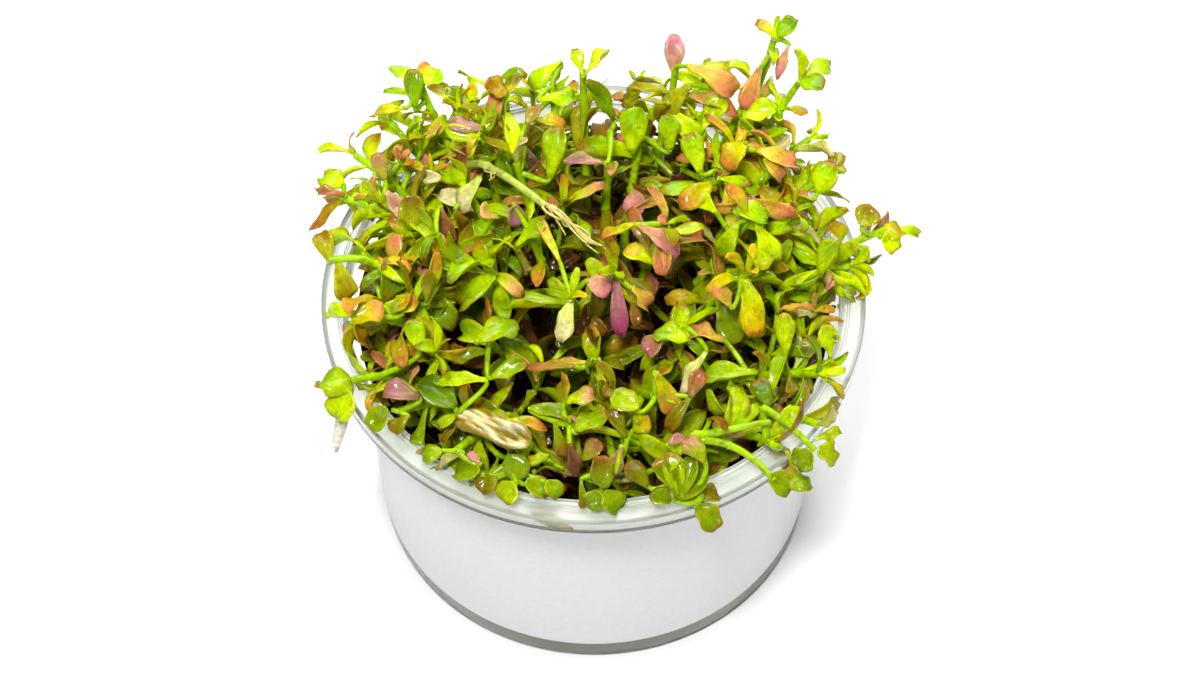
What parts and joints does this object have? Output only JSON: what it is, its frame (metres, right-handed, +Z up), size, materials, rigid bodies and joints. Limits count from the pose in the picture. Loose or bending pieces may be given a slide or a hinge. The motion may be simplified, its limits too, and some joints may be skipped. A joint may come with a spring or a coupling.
{
  "type": "potted rotala clump",
  "caption": "Dense clump of small-leaved green, pink and orange rotala shoots rooted in gel in a squat clear flanged culture cup with a blank white wrap label.",
  "frame": {"origin": "centre of the cup's flat underside", "axes": "+Z up along the cup's axis, out of its mouth; -Y towards the picture's camera; +X to its right"},
  "size_m": [0.1095, 0.1005, 0.0946],
  "materials": {
    "clear_cup": "gloss",
    "blank_label": "satin",
    "nutrient_gel": "gloss",
    "old_growth": "satin",
    "pale_stem": "satin",
    "young_leaf": "satin",
    "green_leaf": "satin",
    "olive_leaf": "satin",
    "blushed_leaf": "satin"
  },
  "bodies": {
    "root": {"cup": "clear_cup", "label": "blank_label", "gel": "nutrient_gel", "undergrowth": "old_growth", "rooting_stem": "pale_stem", "shoot_01": "young_leaf", "shoot_02": "green_leaf", "shoot_03": "young_leaf", "shoot_04": "blushed_leaf", "shoot_05": "young_leaf", "shoot_06": "green_leaf", "shoot_07": "olive_leaf", "shoot_08": "green_leaf", "shoot_09": "blushed_leaf", "shoot_10": "blushed_leaf", "shoot_11": "blushed_leaf", "shoot_12": "green_leaf", "shoot_13": "young_leaf", "shoot_14": "green_leaf", "shoot_15": "blushed_leaf", "shoot_16": "blushed_leaf", "shoot_17": "young_leaf", "shoot_18": "green_leaf", "shoot_19": "young_leaf", "shoot_20": "young_leaf", "shoot_21": "green_leaf", "shoot_22": "young_leaf", "shoot_23": "young_leaf", "shoot_24": "green_leaf", "shoot_25": "young_leaf", "shoot_26": "green_leaf", "shoot_27": "young_leaf", "shoot_28": "young_leaf", "shoot_29": "blushed_leaf", "shoot_30": "young_leaf", "shoot_31": "green_leaf", "shoot_32": "olive_leaf", "shoot_33": "green_leaf", "shoot_34": "young_leaf", "shoot_35": "blushed_leaf", "shoot_36": "olive_leaf", "shoot_37": "blushed_leaf", "shoot_38": "young_leaf", "shoot_39": "green_leaf", "shoot_40": "green_leaf", "shoot_41": "green_leaf", "shoot_42": "blushed_leaf", "shoot_43": "blushed_leaf", "shoot_44": "green_leaf", "shoot_45": "young_leaf", "shoot_46": "young_leaf", "shoot_47": "young_leaf", "shoot_48": "blushed_leaf", "shoot_49": "blushed_leaf", "shoot_50": "blushed_leaf", "shoot_51": "green_leaf", "shoot_52": "green_leaf", "shoot_53": "young_leaf", "shoot_54": "blushed_leaf"}
  },
  "joints": []
}
